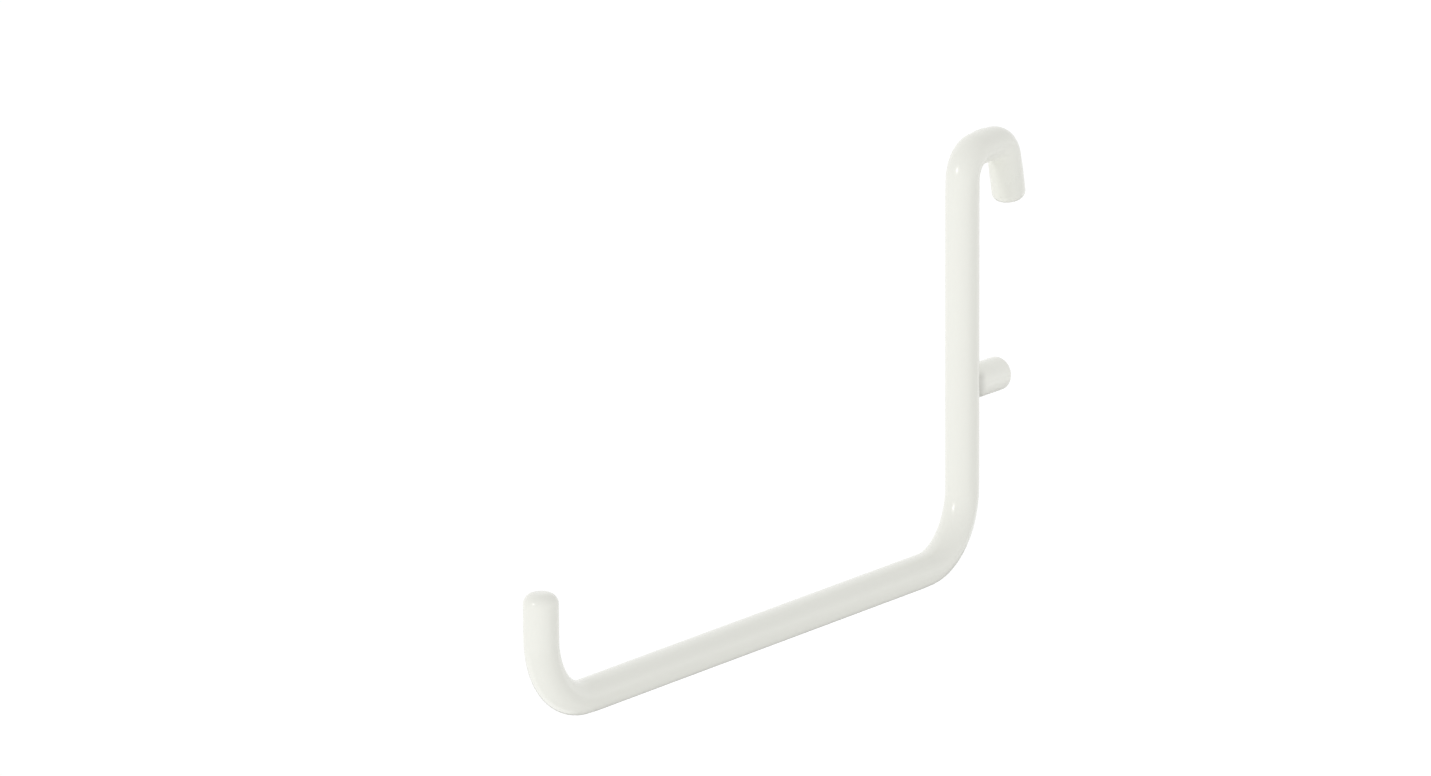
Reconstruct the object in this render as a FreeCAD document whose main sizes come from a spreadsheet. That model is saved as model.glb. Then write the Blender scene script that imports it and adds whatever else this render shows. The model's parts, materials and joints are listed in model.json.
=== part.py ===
import FreeCAD, Part
import math
import os

import Sketcher

# Pegboard hook: a round rod bent in one plane, with a locating peg welded square to the back of its post.
# The frame: X across the hook, +Y into the board, +Z up. The origin is on the peg's axis, in the plane of
# the board's front face, which the back of the post rests against. The arm reaches out along -Y.

# Driving dimensions, in millimetres and degrees
SIZES = [
    ("rod_diameter", 4.8, "round rod over its coat, a free fit in a slot 5 wide"),
    ("post_height", 57.8, "arm axis to the level of the top run's axis at the post"),
    ("arm_length", 103.8, "post axis to tip axis"),
    ("tip_height", 16.35, "arm axis to the end of the upturned tip"),
    ("tip_inside_radius", 7.6, "inside of the bend where the arm turns up into the tip"),
    ("arm_inside_radius", 7.6, "inside of the bend where the post turns into the arm"),
    ("top_inside_radius", 1.6, "inside of the tight bend at the top of the post"),
    ("leg_inside_radius", 0.8, "inside of the tight bend where the rear leg turns down"),
    ("top_rise_angle", 2.5, "climb of the top run towards the back"),
    ("leg_lean_angle", 11.5, "lean of the rear leg, out from the board as it drops"),
    ("leg_length", 6.45, "straight part of the rear leg, to its end"),
    ("board_thickness", 5.0, "board that the hook hangs on"),
    ("board_play", 1.2, "free room for the board between post and leg"),
    ("tip_rounding", 1.6, "rounded rim at the tip's end"),
    ("leg_rounding", 1.2, "rounded rim at the rear leg's end"),
    ("peg_drop", 33.2, "level of the top run's axis at the post, down to the peg's axis"),
    ("peg_diameter", 4.8, "shank of the locating peg over its coat"),
    ("peg_proud", 1.85, "length of peg that stands out behind the board"),
    ("peg_rounding", 0.35, "rounded rim at the peg's end"),
    ("weld_draw", 0.3, "how far the peg's weld end is drawn in from its shank, on every side"),
    ("weld_land", 0.2, "length of drawn-in weld end that shows behind the post"),
]

# Segments of the rod's centreline, from the tip's end to the leg's end
TIP, TIP_BEND, ARM, ARM_BEND, POST, TOP_BEND, TOP_RUN, LEG_BEND, LEG = range(9)

# Sides of the peg's half section, from its weld end round to its axis
PEG_ROOT, PEG_TAPER, PEG_SHANK, PEG_FACE, PEG_AXIS = range(5)

# How a sketch counts: down from its own origin to its vertical axis, and up through a curve's points
ORIGIN, VERTICAL_AXIS = range(-1, -3, -1)
START, END, CENTRE = range(1, 4)

QUARTER_TURN = 90.0
UPWARD = FreeCAD.Vector(0, 0, 1)
TOLERANCE = 1e-4


def make_sheet(doc):
    """Write the driving dimensions into a sheet, one row for each, with its name as the alias."""
    sheet = doc.addObject("Spreadsheet::Sheet", "sizes")
    for row, (name, value, meaning) in enumerate(SIZES, start=1):
        sheet.set(f"A{row}", meaning)
        sheet.set(f"B{row}", str(value))
        sheet.setAlias(f"B{row}", name)
    doc.recompute()
    return sheet


def make_body(doc, name):
    """Make an empty body at the origin of the frame."""
    body = doc.addObject("PartDesign::Body", name)
    body.Label = name
    body.Placement = FreeCAD.Placement()
    return body


def make_sketch(body, name, role):
    """Start a sketch on one of the body's own origin planes."""
    plane = next(feature for feature in body.Origin.OriginFeatures if feature.Role == role)
    sketch = body.newObject("Sketcher::SketchObject", name)
    sketch.AttachmentSupport = [(plane, "")]
    sketch.MapMode = "FlatFace"
    return sketch


def bind(sketch, name, expression, kind, *places):
    """Add a named dimension to a sketch, at the sheet's value, and tie it to the sheet."""
    value = sketch.evalExpression(expression)
    index = sketch.addConstraint(Sketcher.Constraint(kind, *places, value))
    sketch.renameConstraint(index, name)
    sketch.setExpression(f"Constraints.{name}", expression)


def rod_route(sheet):
    """Give the route along the rod: a number is a straight length, a pair is a bend's radius and turn."""
    rise = math.radians(sheet.top_rise_angle)
    lean = math.radians(sheet.leg_lean_angle)
    half_rod = sheet.rod_diameter / 2
    tip_radius = sheet.tip_inside_radius + half_rod
    arm_radius = sheet.arm_inside_radius + half_rod
    top_radius = sheet.top_inside_radius + half_rod
    leg_radius = sheet.leg_inside_radius + half_rod
    leg_distance = sheet.rod_diameter + sheet.board_thickness + sheet.board_play
    top_bend_depth = top_radius * (1 - math.sin(rise))
    leg_bend_depth = leg_radius * (math.sin(rise) + math.cos(lean))
    return [
        sheet.tip_height - tip_radius,
        (tip_radius, QUARTER_TURN),
        sheet.arm_length - tip_radius - arm_radius,
        (arm_radius, QUARTER_TURN),
        sheet.post_height - arm_radius - top_radius,
        (top_radius, sheet.top_rise_angle - QUARTER_TURN),
        (leg_distance - top_bend_depth - leg_bend_depth) / math.cos(rise),
        (leg_radius, sheet.leg_lean_angle - QUARTER_TURN - sheet.top_rise_angle),
        sheet.leg_length,
    ]


def draw_route(sketch, route, place):
    """Draw the route in a sketch from its first point, heading down, with each segment tangent to the last."""
    heading = -QUARTER_TURN
    joint = None
    for step in route:
        ahead = FreeCAD.Rotation(UPWARD, heading).multVec(FreeCAD.Vector(1, 0, 0))
        if isinstance(step, tuple):
            radius, turn = step
            towards_centre = UPWARD.cross(ahead) * math.copysign(radius, turn)
            centre = place + towards_centre
            spoke = math.degrees(math.atan2(-towards_centre.y, -towards_centre.x))
            angles = sorted((math.radians(spoke), math.radians(spoke + turn)))
            segment = Part.ArcOfCircle(Part.Circle(centre, UPWARD, radius), *angles)
            place = centre - FreeCAD.Rotation(UPWARD, turn).multVec(towards_centre)
            heading += turn
            first, last = (START, END) if turn > 0 else (END, START)
        else:
            segment = Part.LineSegment(place, place + ahead * step)
            place = place + ahead * step
            first, last = START, END
        index = sketch.addGeometry(segment)
        if joint:
            sketch.addConstraint(Sketcher.Constraint("Tangent", *joint, index, first))
        joint = (index, last)


def make_rod_path(body, sheet):
    """Draw the rod's centreline in the plane of the hook and tie every dimension of it to the sheet."""
    path = make_sketch(body, "rod_path", "YZ_Plane")
    tip_end = FreeCAD.Vector(
        -sheet.rod_diameter / 2 - sheet.arm_length,
        sheet.peg_drop - sheet.post_height + sheet.tip_height,
        0,
    )
    draw_route(path, rod_route(sheet), tip_end)
    for upright in (TIP, POST):
        path.addConstraint(Sketcher.Constraint("Vertical", upright))
    path.addConstraint(Sketcher.Constraint("Horizontal", ARM))
    bind(path, "post_setback", "sizes.rod_diameter / 2", "DistanceX", POST, START, ORIGIN, START)
    bind(path, "arm_reach", "sizes.arm_length", "DistanceX", TIP, START, POST, START)
    bind(path, "arm_depth", "sizes.post_height - sizes.peg_drop", "DistanceY", ARM, START, ORIGIN, START)
    bind(path, "tip_rise", "sizes.tip_height", "DistanceY", ARM, START, TIP, START)
    top_radius = "sizes.top_inside_radius + sizes.rod_diameter / 2"
    bind(path, "post_top", f"sizes.peg_drop - ({top_radius})", "DistanceY", ORIGIN, START, POST, END)
    bind(path, "tip_bend", "sizes.tip_inside_radius + sizes.rod_diameter / 2", "Radius", TIP_BEND)
    bind(path, "arm_bend", "sizes.arm_inside_radius + sizes.rod_diameter / 2", "Radius", ARM_BEND)
    bind(path, "top_bend", top_radius, "Radius", TOP_BEND)
    bind(path, "leg_bend", "sizes.leg_inside_radius + sizes.rod_diameter / 2", "Radius", LEG_BEND)
    bind(path, "run_climb", "sizes.top_rise_angle * 1 deg", "Angle", TOP_RUN)
    leg_heading = f"(sizes.leg_lean_angle - {QUARTER_TURN}) * 1 deg"
    bind(path, "leg_heading", leg_heading, "Angle", LEG)
    gap = "sizes.rod_diameter + sizes.board_thickness + sizes.board_play"
    bind(path, "leg_distance", gap, "DistanceX", POST, END, LEG, START)
    bind(path, "leg_straight", "sizes.leg_length", "Distance", LEG)
    return path


def make_rod_section(body):
    """Draw the rod's round section square across the tip's end."""
    section = make_sketch(body, "rod_section", "XY_Plane")
    section.setExpression("AttachmentOffset.Base.z", "sizes.peg_drop - sizes.post_height + sizes.tip_height")
    section.addGeometry(Part.Circle())
    section.addConstraint(Sketcher.Constraint("PointOnObject", 0, CENTRE, VERTICAL_AXIS))
    reach = "sizes.arm_length + sizes.rod_diameter / 2"
    bind(section, "tip_reach", reach, "DistanceY", 0, CENTRE, ORIGIN, START)
    bind(section, "across", "sizes.rod_diameter", "Diameter", 0)
    return section


def round_rims(body, base, name, radius, centre):
    """Round the circular rims of a solid that are centred on the given point."""
    rims = [
        f"Edge{number}"
        for number, edge in enumerate(base.Shape.Edges, start=1)
        if isinstance(edge.Curve, Part.Circle)
        and edge.Curve.Center.distanceToPoint(centre) < TOLERANCE
    ]
    fillet = body.newObject("PartDesign::Fillet", name)
    fillet.Base = (base, rims)
    fillet.setExpression("Radius", radius)
    return fillet


def make_hook_rod(doc, sheet):
    """Sweep the round section along the bent centreline and round both ends."""
    body = make_body(doc, "hook_rod")
    path = make_rod_path(body, sheet)
    section = make_rod_section(body)
    doc.recompute()
    sweep = body.newObject("PartDesign::AdditivePipe", "rod_sweep")
    sweep.Profile = section
    sweep.Spine = (path, [f"Edge{number}" for number in range(TIP + 1, LEG + 2)])
    doc.recompute()
    tip_end = path.Shape.Edges[TIP].Vertexes[0].Point
    leg_end = path.Shape.Edges[LEG].Vertexes[-1].Point
    rounded = round_rims(body, sweep, "tip_end", "sizes.tip_rounding", tip_end)
    doc.recompute()
    round_rims(body, rounded, "leg_end", "sizes.leg_rounding", leg_end)
    return body


def make_peg_profile(body, sheet):
    """Draw half of the peg's long section, from the plane of the post's axis to the peg's end."""
    profile = make_sketch(body, "peg_profile", "YZ_Plane")
    root = -sheet.rod_diameter / 2
    end = sheet.board_thickness + sheet.peg_proud
    corners = [
        FreeCAD.Vector(root, 0, 0),
        FreeCAD.Vector(root, sheet.peg_diameter / 2 - sheet.weld_draw, 0),
        FreeCAD.Vector(sheet.weld_land, sheet.peg_diameter / 2, 0),
        FreeCAD.Vector(end, sheet.peg_diameter / 2, 0),
        FreeCAD.Vector(end, 0, 0),
    ]
    for corner, following in zip(corners, corners[1:] + corners[:1]):
        profile.addGeometry(Part.LineSegment(corner, following))
    for side in range(PEG_ROOT, PEG_AXIS):
        profile.addConstraint(Sketcher.Constraint("Coincident", side, END, side + 1, START))
    profile.addConstraint(Sketcher.Constraint("Coincident", PEG_AXIS, END, PEG_ROOT, START))
    for side in (PEG_ROOT, PEG_FACE):
        profile.addConstraint(Sketcher.Constraint("Vertical", side))
    for side in (PEG_SHANK, PEG_AXIS):
        profile.addConstraint(Sketcher.Constraint("Horizontal", side))
    profile.addConstraint(Sketcher.Constraint("PointOnObject", PEG_ROOT, START, ORIGIN))
    bind(profile, "root_depth", "sizes.rod_diameter / 2", "DistanceX", PEG_ROOT, START, ORIGIN, START)
    root_radius = "sizes.peg_diameter / 2 - sizes.weld_draw"
    bind(profile, "root_radius", root_radius, "DistanceY", ORIGIN, START, PEG_ROOT, END)
    bind(profile, "land", "sizes.weld_land", "DistanceX", ORIGIN, START, PEG_SHANK, START)
    bind(profile, "shank_radius", "sizes.peg_diameter / 2", "DistanceY", ORIGIN, START, PEG_SHANK, START)
    reach = "sizes.board_thickness + sizes.peg_proud"
    bind(profile, "reach", reach, "DistanceX", ORIGIN, START, PEG_FACE, END)
    return profile


def make_post_outline(body):
    """Draw the post's round section where it passes the peg's weld end."""
    outline = make_sketch(body, "post_outline", "XY_Plane")
    outline.addGeometry(Part.Circle())
    outline.addConstraint(Sketcher.Constraint("PointOnObject", 0, CENTRE, VERTICAL_AXIS))
    bind(outline, "post_setback", "sizes.rod_diameter / 2", "DistanceY", 0, CENTRE, ORIGIN, START)
    bind(outline, "across", "sizes.rod_diameter", "Diameter", 0)
    return outline


def make_locating_peg(doc, sheet):
    """Turn the peg about its axis, round its end and cope its weld end to sit on the post."""
    body = make_body(doc, "locating_peg")
    profile = make_peg_profile(body, sheet)
    turned = body.newObject("PartDesign::Revolution", "peg_turned")
    turned.Profile = profile
    turned.ReferenceAxis = (profile, ["H_Axis"])
    doc.recompute()
    end = FreeCAD.Vector(0, sheet.board_thickness + sheet.peg_proud, 0)
    rounded = round_rims(body, turned, "peg_end", "sizes.peg_rounding", end)
    doc.recompute()
    cope = body.newObject("PartDesign::Pocket", "peg_cope")
    cope.Profile = make_post_outline(body)
    cope.SideType = "Symmetric"
    cope.Type = "ThroughAll"
    doc.recompute()
    if cope.Shape.Volume > rounded.Shape.Volume - TOLERANCE:
        raise ValueError("the cope took nothing from the peg's weld end")
    return body


def check(doc, bodies):
    """Stop before anything is written if an object failed or a piece is no single valid solid."""
    doc.recompute()
    failed = [item.Name for item in doc.Objects if {"Invalid", "Error"} & set(item.State)]
    if failed:
        raise ValueError(f"failed objects: {failed}")
    for body in bodies:
        if body.Shape.isNull() or not body.Shape.isValid() or len(body.Shape.Solids) != 1:
            raise ValueError(f"{body.Label} is not one valid solid")


def main():
    doc = FreeCAD.newDocument("pegboard_hook")
    sheet = make_sheet(doc)
    bodies = [make_hook_rod(doc, sheet), make_locating_peg(doc, sheet)]
    check(doc, bodies)
    os.makedirs("parts", exist_ok=True)
    for body in bodies:
        body.Shape.exportStep(f"parts/{body.Label}.step")


main()
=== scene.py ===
import json
import math
from collections import namedtuple

import bmesh
import bpy
from mathutils import Matrix, Quaternion, Vector


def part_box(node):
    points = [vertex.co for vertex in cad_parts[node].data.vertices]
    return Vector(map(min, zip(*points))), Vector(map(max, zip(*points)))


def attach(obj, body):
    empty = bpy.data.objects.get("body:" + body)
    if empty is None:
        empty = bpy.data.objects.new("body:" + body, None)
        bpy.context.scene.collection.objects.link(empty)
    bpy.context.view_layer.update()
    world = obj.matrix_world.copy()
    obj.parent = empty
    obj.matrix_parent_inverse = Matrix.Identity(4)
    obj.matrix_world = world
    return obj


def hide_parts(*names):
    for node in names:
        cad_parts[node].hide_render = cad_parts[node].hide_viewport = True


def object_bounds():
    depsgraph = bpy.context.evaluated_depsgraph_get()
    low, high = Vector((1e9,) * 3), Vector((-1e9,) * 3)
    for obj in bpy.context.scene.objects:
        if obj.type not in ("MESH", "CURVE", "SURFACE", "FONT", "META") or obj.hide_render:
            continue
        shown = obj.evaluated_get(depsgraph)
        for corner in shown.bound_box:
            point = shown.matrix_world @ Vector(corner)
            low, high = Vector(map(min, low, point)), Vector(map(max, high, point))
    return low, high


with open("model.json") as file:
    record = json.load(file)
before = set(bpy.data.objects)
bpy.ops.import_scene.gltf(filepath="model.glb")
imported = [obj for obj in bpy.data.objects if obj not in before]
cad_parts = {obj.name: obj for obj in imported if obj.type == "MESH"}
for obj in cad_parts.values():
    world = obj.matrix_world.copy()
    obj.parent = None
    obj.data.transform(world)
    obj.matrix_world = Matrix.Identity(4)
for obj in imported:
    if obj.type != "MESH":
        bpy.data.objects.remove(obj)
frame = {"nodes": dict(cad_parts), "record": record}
cad_low, cad_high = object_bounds()

# A pegboard hook: a round rod bent in one plane, with a locating peg welded square to the back of
# its post, all under one off-white powder coat. Metres, in the frame of the solids: X across the
# hook, +Y into the board, +Z up, with the origin on the peg's axis in the board's front face.

MM = 0.001
ACROSS = Vector((1, 0, 0))
INTO_BOARD = Vector((0, 1, 0))
UP = Vector((0, 0, 1))
QUARTER_TURN = math.radians(90)
FULL_TURN = math.radians(360)

# Sizes and finish that the frame holds
MOUNTS = {mount["name"]: mount for mount in frame["record"]["mounts"]}
COAT = frame["record"]["materials"][0]
ROD_LOW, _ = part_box("hook_rod")
_, PEG_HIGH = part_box("locating_peg")
ROD_RADIUS = MOUNTS["hook_leg"]["dims"]["r_mm"] * MM
PEG_RADIUS = PEG_HIGH.x

# Bends and rims of the rod and the peg
TOP_BEND = 4.0 * MM  # bend at the top of the post, at the rod's centre
LEG_BEND = 3.2 * MM  # bend where the rear leg turns down, at the rod's centre
TOP_RISE = math.radians(2.5)  # climb of the short top run towards the board
TIP_ROUNDING = 1.6 * MM
LEG_ROUNDING = 1.2 * MM
PEG_ROUNDING = 0.35 * MM
BEND_FLATTENING = 0.12  # share of its radius that a bend as tight as the rod loses outside
FLATTENING_FADE = 2.0 * MM  # length over which a bend's flattening runs out along the rod

# The weld between peg and post
WELD_FILLET = 0.2 * MM  # weld and coat that fill the corner
WELD_DRAW = 0.3 * MM  # how far the peg is drawn in towards its weld, on every side
WELD_LAND = 0.2 * MM  # depth behind the board's front face from which it is drawn in
PEG_ROOT_SHARE = 0.8  # share of its radius that the peg has inside the post

# Painted shade on the peg, in the lower corner behind the post
PAINTED_SHADE_REACH = 1.2 * MM  # how far from the post the painted shade on the peg reaches
PAINTED_SHADE_TOP = 2.0 * MM  # level on the peg, over its axis, above which there is no painted shade
PAINTED_SHADE_FADE = 1.0 * MM  # height over which that painted shade fades in below
# Insides of tight bends, which the spray hardly reaches
TIGHT_REACH = 4.4 * MM  # how far from a bend's centre the coat inside it is dull
TIGHT_FADE = 2.4 * MM  # width over which that dullness runs out

# Mesh steps
AROUND = 96
STRAIGHT_STEP = 1.5 * MM
BEND_STEP = math.radians(3)
RIM_STEPS = 8
FACE_RINGS = 3
FILLET_STEPS = 6
SHANK_STEPS = 24
BALL_HALVINGS = 40
SAME_POINT = MM / 1000  # points nearer than this are one point

# Relief, tone and gloss of the coat
PEEL_SIZE = 1.6 * MM
PEEL_DEPTH = 0.0022 * MM
GRAIN_SIZE = 0.35 * MM
GRAIN_DEPTH = 0.0003 * MM
BREAK_SIZE = 0.12 * MM  # grain that breaks up the border of the dull coat
CLOUD_SIZE = 14 * MM
SPECK_SIZE = 0.5 * MM
PEEL_DETAIL = 1.0  # layers of noise in the peel
GRAIN_DETAIL = 2.0  # layers of noise in grain, specks and gloss
CLOUD_DETAIL = 3.0  # layers of noise in the clouds of tone
NOISE_MIDDLE = 0.5
TONE_SHARE = 0.06  # share of the thin coat's tone in the deepest clouds and specks
COAT_ROUGHNESS = 0.235
ROUGHNESS_SPREAD = 0.05
TIGHT_ROUGHNESS = 0.35  # roughness that is added deep inside a tight bend
TIGHT_SCATTER = 3.0  # how strongly the grain scatters the border of that dullness
COAT_IOR = 1.5
ROD_COAT_COLOUR = (*COAT["base_color"], 1.0)
# the same coat as the rod's, painted lighter on the peg: painted light
PEG_COAT_PAINTED_LIGHTER = (0.885, 0.888, 0.83, 1.0)
THIN_COAT_COLOUR = (0.70, 0.703, 0.66, 1.0)
# darker colour painted as shade into the peg's lower corner behind the post
CORNER_SHADE_COLOUR = (0.64, 0.642, 0.596, 1.0)
ROD_RIM_SHARE = 0.15  # how much of its coat the rod's rims lose
PEG_RIM_SHARE = 0.5  # how much of its coat the peg's rim loses

# Camera, fitted to the view of the photograph
CAMERA_PLACE = Vector((0.78937, -1.24230, 0.33434))
CAMERA_AZIMUTH = math.radians(33.829)
CAMERA_ELEVATION = math.radians(12.827)
CAMERA_ROLL = math.radians(-0.269)
CAMERA_LENS = 270.84
SENSOR_WIDTH = 36.0

# Studio: a white room and a white floor well below the hook
FLOOR_DROP = 0.15
FLOOR_LEVEL = cad_low.z - FLOOR_DROP
FLOOR_SIZE = 12.0
FLOOR_COLOUR = (0.8, 0.8, 0.8, 1.0)
FLOOR_ROUGHNESS = 1.0
FLOOR_GLOSS = 0.0
FLOOR_GLOW = 0.30
ROOM_LIGHT = 0.735
WHITE = (1.0, 1.0, 1.0, 1.0)

# Cards on the floor, each over a share of a ring round the post's foot, in metres and degrees
CARD_LIFT = 1 * MM
CARD_STEPS = 12
Card = namedtuple("Card", "name tone inside outside first last")
CARDS = [
    Card("dark_card", 0.05, 0.0, 0.42, 105, 250),
    Card("grey_card", 0.2, 0.45, 1.2, 82, 150),
    Card("front_card", 0.2, 0.0, 0.45, -40, 105),
]

# Lamps, in degrees: two soft banks that the coat doesn't mirror and one small key that it does
Lamp = namedtuple("Lamp", "name azimuth elevation spread strength mirrored")
LAMPS = [
    Lamp("back_bank", -135, 25, 70, 0.9, False),
    Lamp("front_bank", 14, 8, 40, 0.25, False),
    Lamp("small_key", -18, 20, 7.3, 0.4, True),
]

Station = namedtuple("Station", "place ahead length")
Bend = namedtuple("Bend", "first last outside loss centre")
Ring = namedtuple("Ring", "points thin")
EndStep = namedtuple("EndStep", "radius setback thin")


# Used throughout
def put_in_scene(name, data):
    """Make an object of a mesh, a lamp or a camera, and put it in the scene."""
    item = bpy.data.objects.new(name, data)
    bpy.context.scene.collection.objects.link(item)
    return item


def smooth(share):
    """Ease a share between 0 and 1, level at both ends."""
    share = min(max(share, 0.0), 1.0)
    return share * share * (3 - 2 * share)


def end_steps(radius, rounding):
    """Give the steps over a rounded rim and the flat end inside it, from the outside inwards."""
    steps = []
    for number in range(RIM_STEPS + 1):
        angle = QUARTER_TURN * number / RIM_STEPS
        rim_radius = radius - rounding * (1 - math.cos(angle))
        steps.append(EndStep(rim_radius, rounding * (1 - math.sin(angle)), math.sin(angle)))
    for number in range(1, FACE_RINGS):
        share = 1 - number / FACE_RINGS
        steps.append(EndStep((radius - rounding) * share, 0.0, share))
    return steps


def loft(name, rings, first_pole, last_pole):
    """Skin a row of rings with quads and close both ends on a pole."""
    shape = bmesh.new()
    thin = shape.verts.layers.float.new("thin_coat")
    rows = []
    for ring in rings:
        row = [shape.verts.new(point) for point in ring.points]
        for vertex in row:
            vertex[thin] = ring.thin
        rows.append(row)
    for row, following in zip(rows, rows[1:]):
        for number in range(AROUND):
            after = (number + 1) % AROUND
            shape.faces.new((row[number], following[number], following[after], row[after]))
    for row, pole in ((rows[0], first_pole), (rows[-1], last_pole)):
        middle = shape.verts.new(pole)
        for number in range(AROUND):
            shape.faces.new((row[number], row[(number + 1) % AROUND], middle))
    bmesh.ops.remove_doubles(shape, verts=shape.verts, dist=SAME_POINT)
    bmesh.ops.recalc_face_normals(shape, faces=shape.faces)
    for face in shape.faces:
        face.smooth = True
    mesh = bpy.data.meshes.new(name)
    shape.to_mesh(mesh)
    shape.free()
    return put_in_scene(name, mesh)


# The rod
def rod_route():
    """Work out the rod's route: a number is a straight length, a pair a bend's radius and turn."""
    arm = MOUNTS["hanging_arm"]
    arm_length = arm["dims"]["length_mm"] * MM
    arm_front = arm["pos_m"][1] - arm_length / 2
    arm_back = arm["pos_m"][1] + arm_length / 2
    arm_level = ROD_LOW.z + ROD_RADIUS
    tip_bend = arm_front - ROD_LOW.y - ROD_RADIUS
    arm_bend = -ROD_RADIUS - arm_back
    rod = frame["nodes"]["hook_rod"].data
    tip_end = max(vertex.co.z for vertex in rod.vertices if vertex.co.y < arm_front)

    leg = MOUNTS["hook_leg"]
    leg_ahead = Vector(leg["axis"])
    leg_lean = math.atan2(leg_ahead.y, -leg_ahead.z)
    leg_wall = leg["dims"]["length_mm"] * MM
    leg_start = Vector(leg["pos_m"]) - leg_ahead * leg_wall / 2

    run_ahead = Vector((0, math.cos(TOP_RISE), math.sin(TOP_RISE)))
    leg_centre = leg_start + ACROSS.cross(leg_ahead) * -LEG_BEND
    run_end = leg_centre + ACROSS.cross(run_ahead) * LEG_BEND
    run_start_y = -ROD_RADIUS + TOP_BEND * (1 - math.sin(TOP_RISE))
    run_length = (run_end.y - run_start_y) / run_ahead.y
    post_top = run_end.z - run_length * run_ahead.z - TOP_BEND * math.cos(TOP_RISE)

    start = Vector((0, ROD_LOW.y + ROD_RADIUS, tip_end))
    steps = [
        tip_end - arm_level - tip_bend,
        (tip_bend, QUARTER_TURN),
        arm_length,
        (arm_bend, QUARTER_TURN),
        post_top - arm_level - arm_bend,
        (TOP_BEND, TOP_RISE - QUARTER_TURN),
        run_length,
        (LEG_BEND, leg_lean - QUARTER_TURN - TOP_RISE),
        leg_wall + LEG_ROUNDING,
    ]
    return start, steps


def walk_route(start, steps):
    """Follow the route from the tip's end, heading down, and give its stations and its bends."""
    place, ahead, length = start.copy(), -UP, 0.0
    stations, bends = [Station(place, ahead, length)], []
    for step in steps:
        if isinstance(step, tuple):
            radius, turn = step
            arc = radius * abs(turn)
            centre = place + ACROSS.cross(ahead) * math.copysign(radius, turn)
            outside = -math.copysign(1, turn)
            loss = BEND_FLATTENING * ROD_RADIUS / radius
            bends.append(Bend(length, length + arc, outside, loss, centre))
            count = math.ceil(abs(turn) / BEND_STEP)
            spoke, heading = place - centre, ahead
            for number in range(1, count + 1):
                share = Quaternion(ACROSS, turn * number / count)
                place, ahead = centre + share @ spoke, share @ heading
                stations.append(Station(place, ahead, length + arc * number / count))
        else:
            count = math.ceil(step / STRAIGHT_STEP)
            begin = place
            for number in range(1, count + 1):
                place = begin + ahead * step * number / count
                stations.append(Station(place, ahead, length + step * number / count))
        length = stations[-1].length
    return stations, bends


def section_loss(length, bends, outside):
    """Give the share of radius that the rod has lost on one side, at a length along it."""
    losses = [
        bend.loss * smooth(1 - max(bend.first - length, length - bend.last, 0) / FLATTENING_FADE)
        for bend in bends
        if bend.outside == outside
    ]
    return max(losses, default=0.0)


def rod_ring(station, bends, radius, thin=0.0):
    """Give one ring of points round the rod, flattened on the outside of a bend."""
    side = ACROSS.cross(station.ahead)
    points = []
    for number in range(AROUND):
        angle = FULL_TURN * number / AROUND
        facing = math.cos(angle)
        loss = section_loss(station.length, bends, math.copysign(1, facing)) * facing * facing
        offset = side * facing + ACROSS * math.sin(angle)
        points.append(station.place + offset * radius * (1 - loss))
    return Ring(points, thin)


def rod_end_rings(station, outward, rounding):
    """Give the rings of one of the rod's rounded ends, from the rim's start inwards."""
    rings = []
    for step in end_steps(ROD_RADIUS, rounding):
        stepped = station._replace(place=station.place - outward * step.setback)
        rings.append(rod_ring(stepped, [], step.radius, step.thin))
    return rings


def mark_tight_bends(rod, bends):
    """Mark how dull the rod's coat is inside the tight bends, which the spray hardly reaches."""
    marks = rod.data.attributes.new("tight_bend", "FLOAT", "POINT")
    for vertex, mark in zip(rod.data.vertices, marks.data):
        offsets = [vertex.co - bend.centre for bend in bends]
        nearest = min(math.hypot(offset.y, offset.z) for offset in offsets)
        mark.value = smooth((TIGHT_REACH - nearest) / TIGHT_FADE)


def make_bent_rod():
    """Build the rod along its route, from the rounded tip to the rounded end of the rear leg."""
    stations, bends = walk_route(*rod_route())
    first, last = stations[0], stations[-1]
    body = [
        rod_ring(station, bends, ROD_RADIUS)
        for station in stations
        if TIP_ROUNDING < station.length < last.length - LEG_ROUNDING
    ]
    tip_rings = rod_end_rings(first, -first.ahead, TIP_ROUNDING)
    leg_rings = rod_end_rings(last, last.ahead, LEG_ROUNDING)
    rod = loft("bent_rod", tip_rings[::-1] + body + leg_rings, first.place, last.place)
    mark_tight_bends(rod, bends)
    return rod


# The peg
def peg_ring(radius, depth, thin=0.0):
    """Give one round ring of the peg at a depth along its axis."""
    points = []
    for number in range(AROUND):
        angle = FULL_TURN * number / AROUND
        points.append(Vector((radius * math.cos(angle), depth, radius * math.sin(angle))))
    return Ring(points, thin)


def peg_radius(depth):
    """Give the peg's radius at a depth: drawn in towards the weld, and even from there on."""
    drawn = (WELD_LAND - depth) / (WELD_LAND + ROD_RADIUS)
    return PEG_RADIUS - WELD_DRAW * max(drawn, 0.0)


def weld_balls():
    """Give the centres of balls of the fillet's size that touch peg and post, all round the peg."""
    balls = []
    for number in range(AROUND):
        angle = FULL_TURN * number / AROUND
        inside, outside = -ROD_RADIUS, WELD_FILLET
        for _ in range(BALL_HALVINGS):
            depth = (inside + outside) / 2
            reach = peg_radius(depth) + WELD_FILLET
            from_post = math.hypot(reach * math.cos(angle), depth + ROD_RADIUS)
            if from_post < ROD_RADIUS + WELD_FILLET:
                inside = depth
            else:
                outside = depth
        balls.append(Vector((reach * math.cos(angle), depth, reach * math.sin(angle))))
    return balls


def out_of_peg(ball):
    """Give the direction from the peg's axis to a ball."""
    return Vector((ball.x, 0, ball.z)).normalized()


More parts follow.
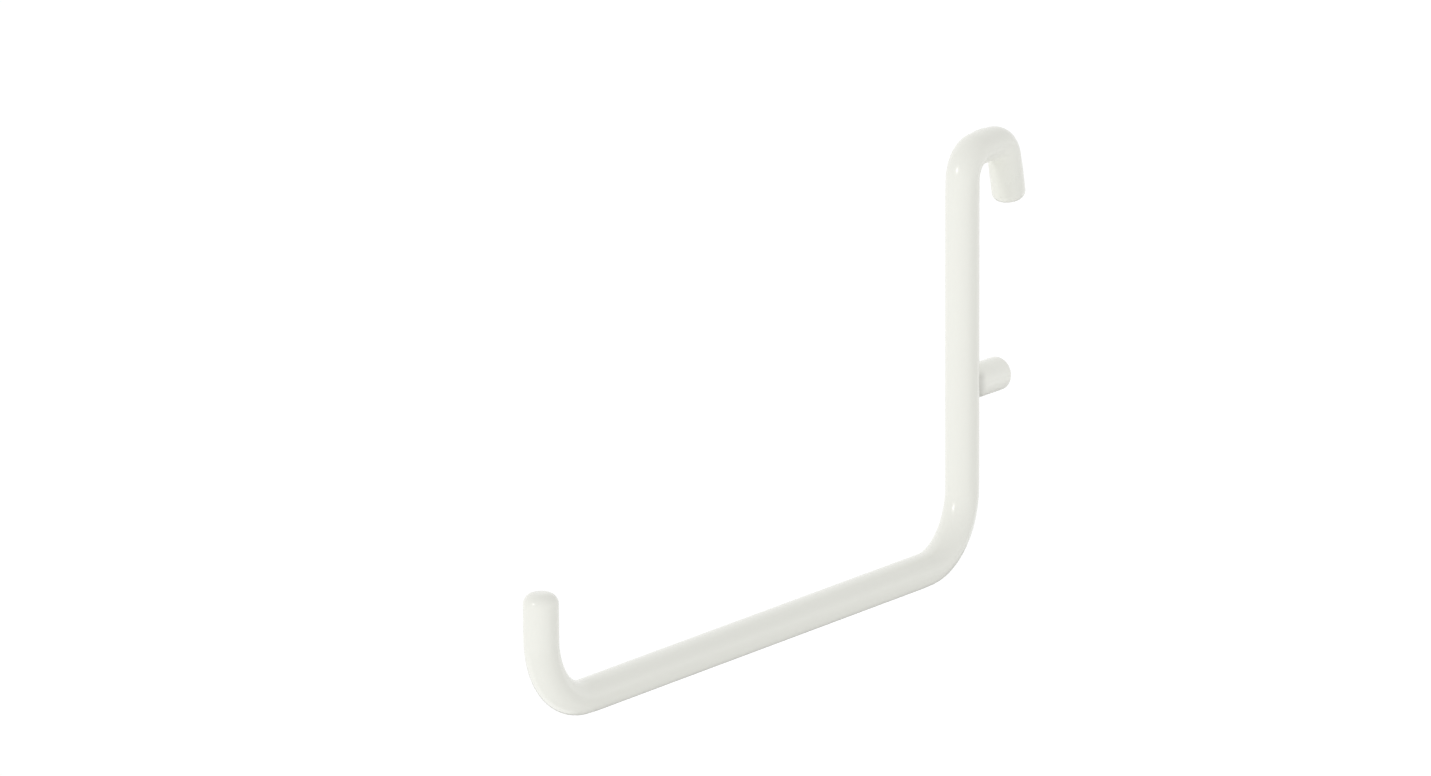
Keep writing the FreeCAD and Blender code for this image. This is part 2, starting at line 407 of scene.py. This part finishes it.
def weld_ring(balls, share):
    """Give one ring of the weld's fillet: share 0 lies on the post and share 1 on the peg."""
    points = []
    for ball in balls:
        out_of_post = Vector((ball.x, ball.y + ROD_RADIUS, 0)).normalized()
        points.append(ball - out_of_post.slerp(out_of_peg(ball), share) * WELD_FILLET)
    return Ring(points, 0.0)


def shank_ring(balls, share):
    """Give one ring of the peg's shank, from the weld at share 0 to the end's rim at share 1."""
    rim_start = PEG_HIGH.y - PEG_ROUNDING
    points = []
    for ball in balls:
        depth = ball.y + (rim_start - ball.y) * share
        points.append(out_of_peg(ball) * peg_radius(depth) + INTO_BOARD * depth)
    return Ring(points, 0.0)


def paint_corner_shade(peg):
    """Mark where shade is painted on the peg, in the lower corner behind the post."""
    marks = peg.data.attributes.new("painted_corner_shade", "FLOAT", "POINT")
    for vertex, mark in zip(peg.data.vertices, marks.data):
        from_post = math.hypot(vertex.co.x, vertex.co.y + ROD_RADIUS) - ROD_RADIUS
        below = smooth((PAINTED_SHADE_TOP - vertex.co.z) / PAINTED_SHADE_FADE)
        mark.value = max(1 - from_post / PAINTED_SHADE_REACH, 0.0) * below


def make_welded_peg():
    """Build the peg from its root inside the post, over the weld's fillet, to its rounded end."""
    root_depth = -ROD_RADIUS
    end_depth = PEG_HIGH.y
    balls = weld_balls()
    rings = [peg_ring(PEG_RADIUS * PEG_ROOT_SHARE, root_depth)]
    rings += [weld_ring(balls, number / FILLET_STEPS) for number in range(FILLET_STEPS + 1)]
    rings += [shank_ring(balls, number / SHANK_STEPS) for number in range(1, SHANK_STEPS)]
    for step in end_steps(PEG_RADIUS, PEG_ROUNDING):
        rings.append(peg_ring(step.radius, end_depth - step.setback, step.thin))
    peg = loft("welded_peg", rings, INTO_BOARD * root_depth, INTO_BOARD * end_depth)
    # paint shade into the peg's lower corner behind the post
    paint_corner_shade(peg)
    return peg


# The powder coat
def feed(tree, value, socket):
    """Link a socket to another one, or set it to a number or a colour."""
    if isinstance(value, bpy.types.NodeSocket):
        tree.links.new(value, socket)
    else:
        socket.default_value = value


def add_math(tree, operation, *operands, clamp=False):
    """Add a math node whose operands are sockets or numbers, and give its result."""
    node = tree.nodes.new("ShaderNodeMath")
    node.operation = operation
    node.use_clamp = clamp
    for socket, operand in zip(node.inputs, operands):
        feed(tree, operand, socket)
    return node.outputs["Value"]


def add_noise(tree, size, detail):
    """Add a noise over the piece's own coordinates, with features of a given size."""
    place = tree.nodes.new("ShaderNodeTexCoord")
    noise = tree.nodes.new("ShaderNodeTexNoise")
    feed(tree, place.outputs["Object"], noise.inputs["Vector"])
    feed(tree, add_math(tree, "DIVIDE", 1.0, size), noise.inputs["Scale"])
    feed(tree, detail, noise.inputs["Detail"])
    return noise.outputs["Fac"]


def add_mix(tree, share, first, second):
    """Add a mix of two colours, and give its result."""
    mix = tree.nodes.new("ShaderNodeMix")
    mix.data_type = "RGBA"
    sockets = {socket.identifier: socket for socket in (*mix.inputs, *mix.outputs)}
    feed(tree, share, sockets["Factor_Float"])
    feed(tree, first, sockets["A_Color"])
    feed(tree, second, sockets["B_Color"])
    return sockets["Result_Color"]


def add_attribute(tree, name):
    """Read one of the masks that pieces carry on their vertices. It is 0 on a piece without it."""
    node = tree.nodes.new("ShaderNodeAttribute")
    node.attribute_name = name
    return node.outputs["Fac"]


def start_group(name, colours, numbers, output, kind):
    """Start a node group with named sockets, and give it with its inputs and its one output."""
    group = bpy.data.node_groups.new(name, "ShaderNodeTree")
    for colour in colours:
        group.interface.new_socket(colour, in_out="INPUT", socket_type="NodeSocketColor")
    for number in numbers:
        group.interface.new_socket(number, in_out="INPUT", socket_type="NodeSocketFloat")
    group.interface.new_socket(output, in_out="OUTPUT", socket_type=f"NodeSocket{kind}")
    given = group.nodes.new("NodeGroupInput").outputs
    result = group.nodes.new("NodeGroupOutput").inputs[output]
    return group, given, result


def make_peel_group():
    """Orange peel and fine grain of a baked powder coat, as a height in metres."""
    numbers = ("Peel Size", "Peel Depth", "Grain Size", "Grain Depth")
    group, given, result = start_group("orange_peel", (), numbers, "Height", "Float")
    peel = add_noise(group, given["Peel Size"], PEEL_DETAIL)
    grain = add_noise(group, given["Grain Size"], GRAIN_DETAIL)
    grain_height = add_math(group, "MULTIPLY", grain, given["Grain Depth"])
    feed(group, add_math(group, "MULTIPLY_ADD", peel, given["Peel Depth"], grain_height), result)
    return group


def make_tone_group():
    """Coat colour with faint clouding, greyer where it drew thin, and darker where shade is painted
    into a corner.
    """
    colours = ("Coat Colour", "Thin Colour", "Corner Shade Colour")
    numbers = ("Thin Mask", "Corner Shade Mask", "Cloud Size", "Speck Size", "Tone Share")
    group, given, result = start_group("coat_tone", colours, numbers, "Colour", "Color")
    cloud = add_noise(group, given["Cloud Size"], CLOUD_DETAIL)
    speck = add_noise(group, given["Speck Size"], GRAIN_DETAIL)
    uneven = add_math(group, "MULTIPLY", cloud, speck)
    uneven_share = add_math(group, "MULTIPLY", uneven, given["Tone Share"])
    clouded = add_mix(group, uneven_share, given["Coat Colour"], given["Thin Colour"])
    # painted shade in a corner
    corner_shaded = add_mix(group, given["Corner Shade Mask"], clouded, given["Corner Shade Colour"])
    feed(group, add_mix(group, given["Thin Mask"], corner_shaded, given["Thin Colour"]), result)
    return group


def make_gloss_group():
    """Roughness of the coat, uneven, and duller where it drew thin and inside tight bends."""
    numbers = ["Roughness", "Spread", "Cloud Size", "Thin Mask"]
    numbers += ["Tight Mask", "Tight Roughness", "Break Size", "Scatter"]
    group, given, result = start_group("coat_gloss", (), numbers, "Roughness", "Float")
    spread, tight_mask = given["Spread"], given["Tight Mask"]
    cloud = add_noise(group, given["Cloud Size"], GRAIN_DETAIL)
    cloud_swing = add_math(group, "SUBTRACT", cloud, NOISE_MIDDLE)
    uneven = add_math(group, "MULTIPLY_ADD", cloud_swing, spread, given["Roughness"])
    duller = add_math(group, "MULTIPLY_ADD", given["Thin Mask"], spread, uneven)
    grain = add_noise(group, given["Break Size"], GRAIN_DETAIL)
    grain_swing = add_math(group, "SUBTRACT", grain, NOISE_MIDDLE)
    scattered = add_math(
        group, "MULTIPLY_ADD", grain_swing, given["Scatter"], tight_mask, clamp=True
    )
    patchy = add_math(group, "MULTIPLY", tight_mask, scattered)
    feed(group, add_math(group, "MULTIPLY_ADD", patchy, given["Tight Roughness"], duller), result)
    return group


def make_rim_group():
    """Mask of the coat that drew thin over a rim, broken up so that it has no hard border."""
    numbers = ("Rim", "Share", "Break Size")
    group, given, result = start_group("rim_thinning", (), numbers, "Mask", "Float")
    broken = add_noise(group, given["Break Size"], GRAIN_DETAIL)
    peak = add_math(group, "MULTIPLY", given["Rim"], given["Share"])
    feed(group, add_math(group, "MULTIPLY", peak, broken), result)
    return group


def place_group(tree, group, values):
    """Place a node group in a material with its own values, and give its one output."""
    node = tree.nodes.new("ShaderNodeGroup")
    node.node_tree = group
    for name, value in values.items():
        feed(tree, value, node.inputs[name])
    return node.outputs[0]


def start_material(name):
    """Start a material, and give it with its node tree and its shader."""
    material = bpy.data.materials.new(name)
    material.use_nodes = True
    tree = material.node_tree
    return material, tree, tree.nodes["Principled BSDF"]


def make_powder_coat(name, groups, colour, rim_share):
    """Off-white powder coat over steel, which loses a share of its thickness at rims."""
    material, tree, shader = start_material(name)
    thin_mask = place_group(
        tree,
        groups["rim_thinning"],
        {"Rim": add_attribute(tree, "thin_coat"), "Share": rim_share, "Break Size": PEEL_SIZE},
    )
    tone = place_group(
        tree,
        groups["coat_tone"],
        {
            "Coat Colour": colour,
            "Thin Colour": THIN_COAT_COLOUR,
            # painted shade: a darker colour in the peg's lower corner behind the post
            "Corner Shade Colour": CORNER_SHADE_COLOUR,
            "Thin Mask": thin_mask,
            "Corner Shade Mask": add_attribute(tree, "painted_corner_shade"),
            "Cloud Size": CLOUD_SIZE,
            "Speck Size": SPECK_SIZE,
            "Tone Share": TONE_SHARE,
        },
    )
    gloss = place_group(
        tree,
        groups["coat_gloss"],
        {
            "Roughness": COAT_ROUGHNESS,
            "Spread": ROUGHNESS_SPREAD,
            "Cloud Size": CLOUD_SIZE,
            "Thin Mask": thin_mask,
            "Tight Mask": add_attribute(tree, "tight_bend"),
            "Tight Roughness": TIGHT_ROUGHNESS,
            "Break Size": BREAK_SIZE,
            "Scatter": TIGHT_SCATTER,
        },
    )
    peel_height = place_group(
        tree,
        groups["orange_peel"],
        {
            "Peel Size": PEEL_SIZE,
            "Peel Depth": PEEL_DEPTH,
            "Grain Size": GRAIN_SIZE,
            "Grain Depth": GRAIN_DEPTH,
        },
    )
    bump = tree.nodes.new("ShaderNodeBump")
    bump.inputs["Distance"].default_value = 1.0  # the height is in metres as it comes
    feed(tree, peel_height, bump.inputs["Height"])
    feed(tree, tone, shader.inputs["Base Color"])
    feed(tree, gloss, shader.inputs["Roughness"])
    feed(tree, bump.outputs["Normal"], shader.inputs["Normal"])
    shader.inputs["IOR"].default_value = COAT_IOR
    return material


def dress(piece, node, material):
    """Give a piece its finish, and let it ride on the hook's one body in place of its solid."""
    piece.data.materials.append(material)
    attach(piece, "root")
    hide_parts(node)


# The studio and the camera
def look_from(azimuth, elevation):
    """Give the direction from the hook to a viewer or a lamp: 0 in front of the arm, 90 at +X."""
    level = math.cos(elevation)
    return Vector((math.sin(azimuth) * level, -math.cos(azimuth) * level, math.sin(elevation)))


def make_sheet(name, corners, material):
    """Lay one flat sheet of the studio, which isn't part of the hook."""
    mesh = bpy.data.meshes.new(name)
    mesh.from_pydata(corners, [], [range(len(corners))])
    mesh.materials.append(material)
    sheet = put_in_scene(name, mesh)
    return sheet


def make_floor():
    """Lay a pale floor, faintly lit from within to look white. It takes the hook's shadow."""
    material, _, shader = start_material("floor_acrylic")
    material.cycles.emission_sampling = "NONE"
    shader.inputs["Base Color"].default_value = FLOOR_COLOUR
    shader.inputs["Roughness"].default_value = FLOOR_ROUGHNESS
    shader.inputs["Specular IOR Level"].default_value = FLOOR_GLOSS
    shader.inputs["Emission Color"].default_value = WHITE
    shader.inputs["Emission Strength"].default_value = FLOOR_GLOW
    reach = FLOOR_SIZE / 2
    corners = [(-reach, -reach), (reach, -reach), (reach, reach), (-reach, reach)]
    make_sheet("floor", [(x, y, FLOOR_LEVEL) for x, y in corners], material)


def make_card(card):
    """Lay a card on the floor, unseen by the camera, that only darkens what the coat mirrors."""
    material, _, shader = start_material(card.name)
    shader.inputs["Base Color"].default_value = (card.tone, card.tone, card.tone, 1.0)
    foot = UP * (FLOOR_LEVEL + CARD_LIFT) - INTO_BOARD * ROD_RADIUS
    first = math.radians(card.first)
    turn = math.radians(card.last - card.first) / CARD_STEPS
    spokes = [look_from(first + turn * number, 0) for number in range(CARD_STEPS + 1)]
    corners = [foot + spoke * card.outside for spoke in spokes]
    if card.inside:
        corners += [foot + spoke * card.inside for spoke in reversed(spokes)]
    else:
        corners.append(foot)
    sheet = make_sheet(card.name, corners, material)
    sheet.visible_camera = False
    sheet.visible_diffuse = False
    sheet.visible_shadow = False


def background_mask(tree):
    """Mask of the rays that see the background: straight, mirrored or through something clear."""
    path = tree.nodes.new("ShaderNodeLightPath").outputs
    seen = add_math(tree, "MAXIMUM", path["Is Camera Ray"], path["Is Glossy Ray"])
    return add_math(tree, "MAXIMUM", seen, path["Is Transmission Ray"])


def make_room():
    """Set the even light of a white room, which itself looks white."""
    world = bpy.data.worlds.new("white_room")
    bpy.context.scene.world = world
    world.use_nodes = True
    tree = world.node_tree
    background = tree.nodes["Background"]
    background.inputs["Color"].default_value = WHITE
    mask = background_mask(tree)
    strength = add_math(tree, "MULTIPLY_ADD", mask, 1 - ROOM_LIGHT, ROOM_LIGHT)
    feed(tree, strength, background.inputs["Strength"])


def hang_lamp(lamp):
    """Hang one distant soft lamp."""
    light = bpy.data.lights.new(lamp.name, "SUN")
    light.energy = lamp.strength
    light.angle = math.radians(lamp.spread)
    towards = look_from(math.radians(lamp.azimuth), math.radians(lamp.elevation))
    holder = put_in_scene(lamp.name, light)
    holder.location = towards
    holder.visible_glossy = lamp.mirrored
    holder.rotation_mode = "QUATERNION"
    holder.rotation_quaternion = towards.to_track_quat("Z", "Y")


def set_camera():
    """Stand the camera where the photograph was taken from."""
    lens = bpy.data.cameras.new("camera")
    lens.lens = CAMERA_LENS
    lens.sensor_width = SENSOR_WIDTH
    back = look_from(CAMERA_AZIMUTH, CAMERA_ELEVATION)
    right = Vector((math.cos(CAMERA_AZIMUTH), math.sin(CAMERA_AZIMUTH), 0))
    turned = Matrix((right, back.cross(right), back)).transposed()
    camera = put_in_scene("camera", lens)
    camera.rotation_mode = "QUATERNION"
    camera.rotation_quaternion = Quaternion(back, CAMERA_ROLL) @ turned.to_quaternion()
    camera.location = CAMERA_PLACE
    bpy.context.scene.camera = camera


# Build the hook, the studio and the camera
coat_groups = {
    "orange_peel": make_peel_group(),
    "coat_tone": make_tone_group(),
    "coat_gloss": make_gloss_group(),
    "rim_thinning": make_rim_group(),
}
rod_coat = make_powder_coat("rod_powder_coat", coat_groups, ROD_COAT_COLOUR, ROD_RIM_SHARE)
# the peg's coat is painted lighter than the rod's, as painted light
peg_coat_painted_lighter = make_powder_coat("peg_powder_coat_painted_lighter", coat_groups, PEG_COAT_PAINTED_LIGHTER, PEG_RIM_SHARE)
dress(make_bent_rod(), "hook_rod", rod_coat)
dress(make_welded_peg(), "locating_peg", peg_coat_painted_lighter)
make_floor()
for card in CARDS:
    make_card(card)
make_room()
for lamp in LAMPS:
    hang_lamp(lamp)
set_camera()
bpy.context.scene.view_settings.view_transform = "Standard"
